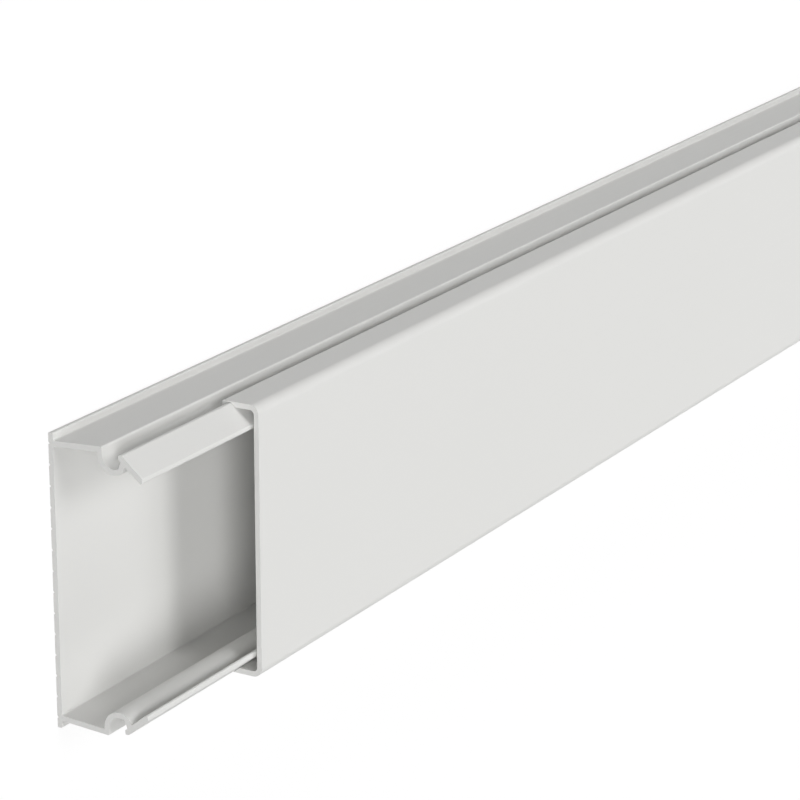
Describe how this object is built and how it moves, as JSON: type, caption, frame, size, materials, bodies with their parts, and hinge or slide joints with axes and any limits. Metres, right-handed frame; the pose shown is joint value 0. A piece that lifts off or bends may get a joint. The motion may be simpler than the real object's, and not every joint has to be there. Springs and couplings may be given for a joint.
{
  "type": "cable trunking",
  "caption": "Shallow white PVC cable trunking: a wide channel for a wall with a notched rear face and rolled clip edges, and a flat clip-on lid slid along to show the inside.",
  "frame": {"origin": "middle of the base's rear face, halfway along its length, between the two middle notches", "axes": "+X along the trunking, towards the end where the lid stands out; +Y across its width; +Z away from the wall, out through the lid"},
  "size_m": [2.064, 0.1028, 0.0395],
  "materials": {
    "pvc_white": "satin"
  },
  "bodies": {
    "base": {"trunking_base": "pvc_white"},
    "lid": {"trunking_lid": "pvc_white"}
  },
  "joints": [
    {"name": "lid_slide", "type": "slide", "parent": "base", "child": "lid", "axis": [1, 0, 0], "range_m": [-0.064, 0.936]}
  ]
}
